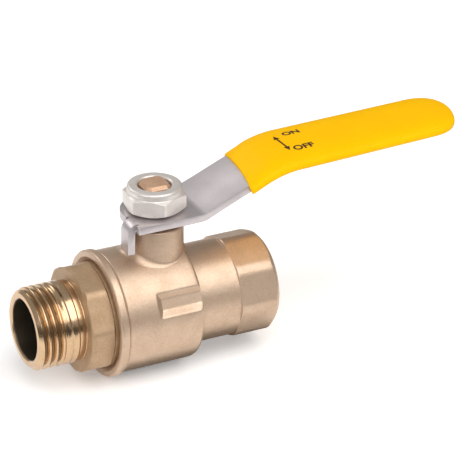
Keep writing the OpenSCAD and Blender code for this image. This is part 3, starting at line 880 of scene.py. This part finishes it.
class VALVE_OT_lever(bpy.types.Operator):
    """Presses the lever plate: its solid with the blanked edges rounded"""

    bl_idname = "valve.lever"
    bl_label = "Lever plate"

    def execute(self, context):
        lever = context.scene.valve_lever
        mesh = frame["nodes"]["lever_plate"].data.copy()
        mesh.name = "pressed_lever"
        flat = math.radians(0.6)
        with editing(mesh) as work:
            bmesh.ops.remove_doubles(work, verts=work.verts, dist=2 * WELD)
            bmesh.ops.dissolve_limit(work, angle_limit=flat, verts=work.verts, edges=work.edges)
        piece = linked("pressed_lever", mesh)
        edge = piece.modifiers.new("Pressed edge", "BEVEL")
        edge.width = lever.edge
        edge.segments = 3
        edge.limit_method = "ANGLE"
        edge.angle_limit = math.radians(35)
        edge.use_clamp_overlap = True
        apply_modifiers(piece)
        smooth_faces(piece.data, 32)
        add_piece(piece, "lever", "lever_steel", MATERIALS["plate_zinc"], "lever_plate")
        return {"FINISHED"}


class VALVE_OT_sleeve(bpy.types.Operator):
    """Dips the grip in plastic: crowned sections along the lever, thick mouth and round tip"""

    bl_idname = "valve.sleeve"
    bl_label = "Sleeve"

    def execute(self, context):
        # Superellipse sections stand across the lever's path. They start inside on the plate, turn
        # over the rolled mouth on a quarter circle, and shrink to the tip.
        lever = context.scene.valve_lever
        mouth = lever.sleeve_start
        reach = SLEEVE_X - STEM_X + 0.8 * MM
        roll = 0.5 * MM
        rolled = mouth + roll * (1 - np.cos(np.linspace(0, math.pi / 2, 6)[:-1]))
        body = np.linspace(mouth + roll, reach - lever.tip_length, 60)
        tip = reach - lever.tip_length * (1 - np.linspace(0, 1, 26)[1:]) ** 2.2
        hidden = [mouth + 5 * MM, mouth + 0.6 * MM, mouth + 0.05 * MM]
        x = np.concatenate([hidden, rolled, body, tip])
        inside = np.arange(len(x)) < len(hidden)
        width, height = self.section(lever, x, reach)
        back = np.clip((x - mouth) / roll, 0, 1)
        lost = roll * (1 - np.sqrt(np.maximum(1 - (1 - back) ** 2, 0)))
        plate_half = np.interp(x, [mouth, mouth + 14 * MM], [7.8 * MM, 8.9 * MM])
        half = np.where(inside, plate_half - 0.25 * MM, width / 2 - lost)[:, None]
        thick = np.where(inside, lever.thickness / 2 - 0.25 * MM, height / 2 - lost)[:, None]
        c, s = superellipse(128, np.where(inside, 10, 2.6)[:, None])
        across, above = half * c, thick * s
        # The mouth is cut askew, the tip leans to one side, and the mouth's upper side is thin
        z, slope = lever_path(lever, x)
        side = across / (lever.mouth_width / 2)
        lean = smooth(1 - (x - mouth) / (10 * MM))[:, None]
        late = np.clip(1 - (reach - x) / (20 * MM), 0, 1)[:, None]
        near = smooth(1 - (x - mouth) / (7 * MM))[:, None]
        skew = lean * (0.75 + 1.12 * side - 0.57 * side**2) * MM + late * side * lever.tip_skew
        above = above * np.where(above > 0, 1 - 0.32 * near, 1)
        slope = slope[:, None]
        points = np.stack(
            [
                STEM_X + x[:, None] + skew - above * np.sin(slope),
                across,
                z[:, None] + skew * np.tan(slope) + above * np.cos(slope),
            ],
            -1,
        )
        piece = surface("sleeve", points, False, True)
        # The open ring at the mouth's inside is closed
        with editing(piece.data) as work:
            bmesh.ops.holes_fill(work, edges=[e for e in work.edges if e.is_boundary], sides=0)
            bmesh.ops.recalc_face_normals(work, faces=work.faces)
        add_piece(piece, "lever", "sleeve_plastic", MATERIALS["sleeve"], "lever_sleeve")
        return {"FINISHED"}

    def section(self, lever, x, reach):
        """Width and height of the sleeve: straight runs between its three widths, and at the tip
        the superellipse (1 - (1 - d/t)^2.5)^(1/2.5) of the distance d to the end."""
        share = np.clip((reach - x) / lever.tip_length, 0, 1)
        share = (1 - (1 - share) ** 2.5) ** (1 / 2.5)
        start = lever.sleeve_start
        width = np.interp(
            x,
            [start, start + 14 * MM, reach - lever.tip_length],
            [lever.mouth_width, lever.grip_width, lever.tip_width],
        )
        swell = 0.35 * MM * smooth(1 - (x - start) / (5 * MM))
        height = (lever.sleeve_height + 2 * swell) * (0.35 + 0.65 * share)
        return width * share + swell * share, height


class VALVE_OT_nut(bpy.types.Operator):
    """Turns the nut: hexagon with a round collar over it, and the stem that it holds"""

    bl_idname = "valve.nut"
    bl_label = "Nut and stem"

    def execute(self, context):
        nut = context.scene.valve_nut
        add_piece(self.nut(nut), "lever", "nut_steel", MATERIALS["nut_zinc"], "lever_nut")
        add_piece(self.stem(nut), "lever", "stem_brass", MATERIALS["stem_brass"], "stem")
        return {"FINISHED"}

    def nut(self, nut):
        """Closed outline turned about the stem, each radius held inside the six flats."""
        flat, top = nut.half_flat, nut.height
        wide = flat / math.cos(TURN / 12) + 0.1 * MM
        low_ring = flat - 1.2 * MM
        slope = math.tan(math.radians(30))
        rows = [
            [0.0, nut.bore_radius, 0.05, 1.0],
            [0.0, low_ring, 0.12, 0.1],
            [(wide - low_ring) * slope, wide, 0.1, 0.3],
            [nut.hexagon, wide, 0.1, 0.06],
            [nut.hexagon + (wide - nut.collar) * slope, nut.collar, 0.18, 0.2],
            [top, nut.collar - 0.12 * MM, 0.75, 0.15],
            [top, nut.bore_radius + 0.35 * MM, 0.12, 0.2],
            [top - 0.35 * MM, nut.bore_radius, 0.1, 0.5],
        ]
        outline = softened(rows)
        theta = np.linspace(0, TURN, 384, endpoint=False)[None]
        height, out = outline[:, :1], outline[:, 1:]
        flats = polygon_limit(theta, flat, 6, nut.turn + TURN / 12, 110.0)
        shape = soft_min(out, flats, 0.16 * MM)
        shape = np.where(out < nut.bore_radius + 1 * MM, out, shape)
        return surface("nut", round_stem(NUT_Z + height, shape, theta))

    def stem(self, nut):
        """Outline from the domed top to the tang, held inside the driving square and the tang."""
        square, shaft, groove, corner = nut.square_half, 4.5 * MM, 3.15 * MM, 4.0 * MM
        flange, ball_side, tang_half = 5.6 * MM, 5.0 * MM, 2.4 * MM
        top, hub = STEM_TOP, NUT_Z - bpy.context.scene.valve_lever.thickness
        flange_low, flange_high = 12.3 * MM, 14.2 * MM
        height = [top, top - 0.05 * MM, top - 0.12 * MM, top - 1.0 * MM, hub, hub]
        out = [0.0, 2.0 * MM, 3.35 * MM, corner, corner, shaft]
        for seal in (BOSS_TOP - 2.2 * MM, 16.9 * MM):
            above, below = seal + 0.9 * MM, seal - 0.9 * MM
            height += [above, above, below, below]
            out += [shaft, groove, groove, shaft]
        height += [flange_high, flange_high, flange_low, flange_low, STEM_BOX[0].z, STEM_BOX[0].z]
        out += [shaft, flange, flange, ball_side, ball_side, 0.0]
        height, out = np.array(height), np.array(out)
        theta = np.linspace(0, TURN, 192, endpoint=False)[None]
        s = np.linspace(0, 1, 6, endpoint=False)
        path = np.arange(len(out) - 1)[:, None] + s[None]
        path = np.append(path.reshape(-1), len(out) - 1)
        z = np.interp(path, np.arange(len(out)), height)[:, None]
        r = np.interp(path, np.arange(len(out)), out)[:, None]
        edge = np.clip((top - 0.1 * MM - z) / (0.9 * MM), 0, 1)
        flats = polygon_limit(theta, 1.0, 4, 0, 12.0) * (square - 0.6 * MM * (1 - edge))
        tang = tang_half / np.maximum(np.abs(np.cos(theta)), 0.05)
        shape = np.where(z > hub + WELD, np.minimum(r, flats), r)
        shape = np.where(z < flange_low - WELD, np.minimum(r, tang), shape)
        return surface("stem_spindle", round_stem(z, shape, theta), False, True, 30.0)


def placed(camera, tree, point):
    """Where the ray through an image point meets the sleeve, or the place nearest to the ray."""
    data = camera.data
    size = max(FRAME_W, FRAME_H)
    ray = Vector(
        (
            point[0] - FRAME_W / 2 + data.shift_x * size,
            FRAME_H / 2 - point[1] + data.shift_y * size,
            -size * data.lens / data.sensor_width,
        )
    )
    origin = camera.matrix_world.translation
    direction = (camera.matrix_world.to_3x3() @ ray).normalized()
    hit = tree.ray_cast(origin, direction)[0]
    if hit is None:
        along = (Vector((STEM_X, 0, BOSS_TOP)) - origin).dot(direction)
        hit = tree.find_nearest(origin + direction * along)[0]
    return hit


class VALVE_OT_print(bpy.types.Operator):
    """Prints ON, OFF and the double arrow on the sleeve, where rays from the image points meet it"""

    bl_idname = "valve.print"
    bl_label = "Printed words"

    def execute(self, context):
        sleeve = bpy.data.objects["sleeve"]
        with editing(sleeve.data) as work:
            tree = BVHTree.FromBMesh(work)
        place = {
            name: placed(context.scene.camera, tree, IMAGE_POINTS[name])
            for name in ("word_on", "word_off", "arrow_on", "arrow_off")
        }
        on = self.word("word_on", "ON", 4.7 * MM, 2.1 * MM, place["word_on"])
        off = self.word("word_off", "OFF", 5.7 * MM, 2.3 * MM, place["word_off"])
        arrow = self.arrow(place["arrow_on"], place["arrow_off"])
        for piece in (on, off, arrow):
            self.lay_on(piece, sleeve)
        return {"FINISHED"}

    def word(self, name, text, width, height, middle):
        """A word made a mesh, scaled to its printed size and laid flat over its place."""
        curve = bpy.data.curves.new(name, "FONT")
        curve.body = text
        curve.offset = 0.035
        holder = linked(name, curve)
        bpy.context.view_layer.update()
        mesh = bpy.data.meshes.new_from_object(holder)
        bpy.data.objects.remove(holder)
        points = gathered(mesh.vertices, "co")
        low, high = points.min(0), points.max(0)
        points = (points - (low + high) / 2) * [width / (high[0] - low[0]), height / (high[1] - low[1]), 0]
        points = points + [middle.x, middle.y, middle.z + PRINT_LIFT]
        mesh.vertices.foreach_set("co", points.reshape(-1).astype(np.float32))
        return linked(name, mesh)

    def arrow(self, first, last):
        """Double arrow between two points: a bar and two triangles over its length."""
        span = math.hypot(first.x - last.x, first.y - last.y)
        angle = math.atan2(last.y - first.y, last.x - first.x)
        head, half, bar = 1.9 * MM, 0.8 * MM, 0.24 * MM
        outline = np.array(
            [
                [0, 0], [head, half], [head, bar], [span - head, bar], [span - head, half],
                [span, 0], [span - head, -half], [span - head, -bar], [head, -bar], [head, -half],
            ]
        )
        c, s = math.cos(angle), math.sin(angle)
        turned = outline @ np.array([[c, s], [-s, c]])
        height = np.full((10, 1), max(first.z, last.z) + PRINT_LIFT)
        points = np.hstack([turned + [first.x, first.y], height])
        mesh = bpy.data.meshes.new("arrow")
        mesh.from_pydata(points.tolist(), [], [(0, 1, 2, 8, 9), (2, 3, 7, 8), (3, 4, 5, 6, 7)])
        return linked("arrow", mesh)

    def lay_on(self, piece, sleeve):
        """Cuts the flat print into small faces and drops it a hair over the sleeve."""
        with editing(piece.data) as work:
            bmesh.ops.triangulate(work, faces=work.faces)
            for _ in range(4):
                long = [e for e in work.edges if e.calc_length() > 0.5 * MM]
                bmesh.ops.subdivide_edges(work, edges=long, cuts=1)
                bmesh.ops.triangulate(work, faces=work.faces)
            bmesh.ops.recalc_face_normals(work, faces=work.faces)
        drop = piece.modifiers.new("Drop", "SHRINKWRAP")
        drop.target = sleeve
        drop.wrap_method = "PROJECT"
        drop.use_project_z = True
        drop.use_negative_direction = True
        drop.use_positive_direction = False
        drop.offset = 0.03 * MM
        thick = piece.modifiers.new("Ink", "SOLIDIFY")
        thick.thickness = 0.02 * MM
        thick.offset = 0
        apply_modifiers(piece)
        if gathered(piece.data.vertices, "co")[:, 2].max() > SLEEVE_TOP + MM:
            raise RuntimeError(f"{piece.name}: the print missed the sleeve")
        add_piece(piece, "lever", "sleeve_plastic", MATERIALS["ink"])


class VALVE_OT_stage(bpy.types.Operator):
    """Lays the pale floor and sets the soft studio light"""

    bl_idname = "valve.stage"
    bl_label = "Stage"

    def execute(self, context):
        self.floor()
        self.world(context.scene)
        # Name, place, width and depth in metres, and watts of each lamp
        self.lamp("Overhead", (0.15, -0.72, 1.02), 1.6, 1.25, 15.5)
        self.lamp("Side", (-0.85, -0.45, 0.5), 0.5, 0.5, 2.2)
        self.lamp("Back", (-0.35, 0.92, 0.75), 0.6, 0.45, 2.7)
        azimuth = context.scene.valve_camera.azimuth
        front = (-math.sin(azimuth), -math.cos(azimuth))
        # Name, foot, direction, half width, and the reach and rise of both edges of each card
        self.card("front_card", (0.04, 0.0), front, 0.35, (0.085, 0.26), (0.0, 0.075))
        self.card("end_card", (0.17, 0.05), (1, 0), 0.2, (0.0, 0.02), (0.0, 0.11))
        self.card("back_card", (0.22, 0.0), (0, 1), 0.075, (0.245, 0.05), (0.14, 0.283))
        # The card under the valve is painted shadow: it darkens the floor seen in the metal where the valve's
        # own shadow lies
        self.card("under_card", (0.045, 0.0), (0, 1), 0.022, (-0.013, 0.01), (0.0003, 0.0003))
        context.scene.view_settings.view_transform = "Standard"
        return {"FINISHED"}

    def floor(self):
        """Square floor under the lowest point: a grid of one metre steps. Its glow shows to the
        camera and in metal, makes it white there and lights nothing.
        """
        side = np.linspace(-3, 3, 7)
        x, y = np.meshgrid(side, side, indexing="ij")
        points = np.stack([x, y, np.full_like(x, FLOOR_Z - 0.02 * MM)], -1)
        floor = surface("floor", points, False, False)
        material, nodes, shader = new_material("Pale floor")
        rays = nodes.add("ShaderNodeLightPath", (-900, -200)).outputs
        seen = nodes.larger((-650, -200), rays["Is Camera Ray"], rays["Is Glossy Ray"])
        seen = nodes.larger((-450, -200), seen, rays["Is Transmission Ray"])
        glow = nodes.mix("RGBA", (-250, -200), seen, (0, 0, 0, 1), (0.19, 0.19, 0.19, 1))
        nodes.feed((0.98, 0.98, 0.98, 1), shader.inputs["Base Color"])
        nodes.feed(0.85, shader.inputs["Roughness"])
        nodes.feed(glow, shader.inputs["Emission Color"])
        nodes.feed(1.0, shader.inputs["Emission Strength"])
        floor.data.materials.append(material)

    def card(self, name, foot, away, half, reach, rise):
        """Dark card that only reflections show: a grid of two by two, as wide as twice the half,
        leaning between the two reaches and the two rises from a point of the floor.
        """
        across, top = np.meshgrid([-half, half], [0.0, 1.0], indexing="ij")
        out = reach[0] + (reach[1] - reach[0]) * top
        up = rise[0] + (rise[1] - rise[0]) * top
        x = foot[0] + out * away[0] - across * away[1]
        y = foot[1] + out * away[1] + across * away[0]
        card = surface(name, np.stack([x, y, FLOOR_Z + up], -1), False, False)
        card.data.materials.append(bpy.data.materials.get("Dark card") or self.dark())
        card.visible_camera = card.visible_diffuse = card.visible_shadow = False

    def dark(self):
        """Matt black of the cards."""
        material, nodes, shader = new_material("Dark card")
        nodes.feed((0.02, 0.02, 0.02, 1), shader.inputs["Base Color"])
        nodes.feed(0.9, shader.inputs["Roughness"])
        return material

    def world(self, scene):
        """Even grey light all round."""
        scene.world = bpy.data.worlds.new("Studio")
        scene.world.use_nodes = True
        ground = scene.world.node_tree.nodes["Background"]
        ground.inputs["Color"].default_value = (1, 1, 1, 1)
        ground.inputs["Strength"].default_value = 0.39

    def lamp(self, name, place, width, depth, power):
        """Soft lamp at a place, turned towards the valve."""
        data = bpy.data.lights.new(name, "AREA")
        data.shape = "RECTANGLE"
        data.size, data.size_y = width, depth
        data.energy = power
        light = linked(name, data)
        aim = Vector((40, 0, 10)) * MM - Vector(place)
        light.matrix_world = Matrix.Translation(place) @ aim.to_track_quat("-Z", "Y").to_matrix().to_4x4()


OPERATORS = (
    VALVE_OT_camera,
    VALVE_OT_finishes,
    VALVE_OT_male_end,
    VALVE_OT_body,
    VALVE_OT_boss,
    VALVE_OT_lever,
    VALVE_OT_sleeve,
    VALVE_OT_nut,
    VALVE_OT_print,
    VALVE_OT_stage,
)


class VALVE_PT_panel(bpy.types.Panel):
    """Lists the pieces in the order in which they are made"""

    bl_idname = "VALVE_PT_panel"
    bl_label = "Lever ball valve"
    bl_space_type = "VIEW_3D"
    bl_region_type = "UI"
    bl_category = "Valve"

    def draw(self, context):
        for operator in OPERATORS:
            self.layout.operator(operator.bl_idname)


SETTINGS = {
    "valve_camera": ValveCamera,
    "valve_pipe": ValvePipe,
    "valve_body": ValveBody,
    "valve_lever": ValveLever,
    "valve_nut": ValveNut,
    "valve_finish": ValveFinish,
}


def register():
    for group in SETTINGS.values():
        bpy.utils.register_class(group)
    for name, group in SETTINGS.items():
        setattr(bpy.types.Scene, name, PointerProperty(type=group))
    for operator in (*OPERATORS, VALVE_PT_panel):
        bpy.utils.register_class(operator)


def unregister():
    for operator in (VALVE_PT_panel, *reversed(OPERATORS)):
        bpy.utils.unregister_class(operator)
    for name in SETTINGS:
        delattr(bpy.types.Scene, name)
    for group in reversed(list(SETTINGS.values())):
        bpy.utils.unregister_class(group)


def pixels(camera, points):
    """Image places of an array of points: across and down over depth, times the focal length."""
    view = np.array(camera.matrix_world.inverted())
    seen = points @ view[:3, :3].T + view[:3, 3]
    focal = max(FRAME_W, FRAME_H) * camera.data.lens / camera.data.sensor_width
    return np.stack(
        [FRAME_W / 2 - focal * seen[:, 0] / seen[:, 2], FRAME_H / 2 + focal * seen[:, 1] / seen[:, 2]], -1
    )


def piece_points(name):
    """Vertices of a finished mesh as an array."""
    return gathered(bpy.data.objects[name].data.vertices, "co").astype(float)


def write_points(camera):
    """Projects the vertices of the pieces, the nut, the sleeve, the words and the arrow into the image; the
    results are not kept.
    """
    pieces = [o.name for o in bpy.data.objects if o.type == "MESH" and "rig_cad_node" not in o]
    shown = [name for name in pieces if name != "floor" and not name.endswith("_card")]
    everything = np.concatenate([pixels(camera, piece_points(name)) for name in shown])
    nut_seen = pixels(camera, piece_points("nut"))[:, 0]
    sleeve_seen = pixels(camera, piece_points("sleeve"))
    tuple(sleeve_seen[sleeve_seen[:, 0].argmin()])
    tuple(sleeve_seen[sleeve_seen[:, 1].argmax()])
    for name in ("word_on", "word_off"):
        spread = pixels(camera, piece_points(name))
    arrow = pixels(camera, piece_points("arrow"))
    tuple(arrow[arrow[:, 0].argmin()])
    tuple(arrow[arrow[:, 0].argmax()])


def main():
    """Registers the classes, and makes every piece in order."""
    register()
    for operator in OPERATORS:
        group, name = operator.bl_idname.split(".")
        getattr(getattr(bpy.ops, group), name)()
    write_points(bpy.context.scene.camera)


if __name__ == "__main__":
    main()
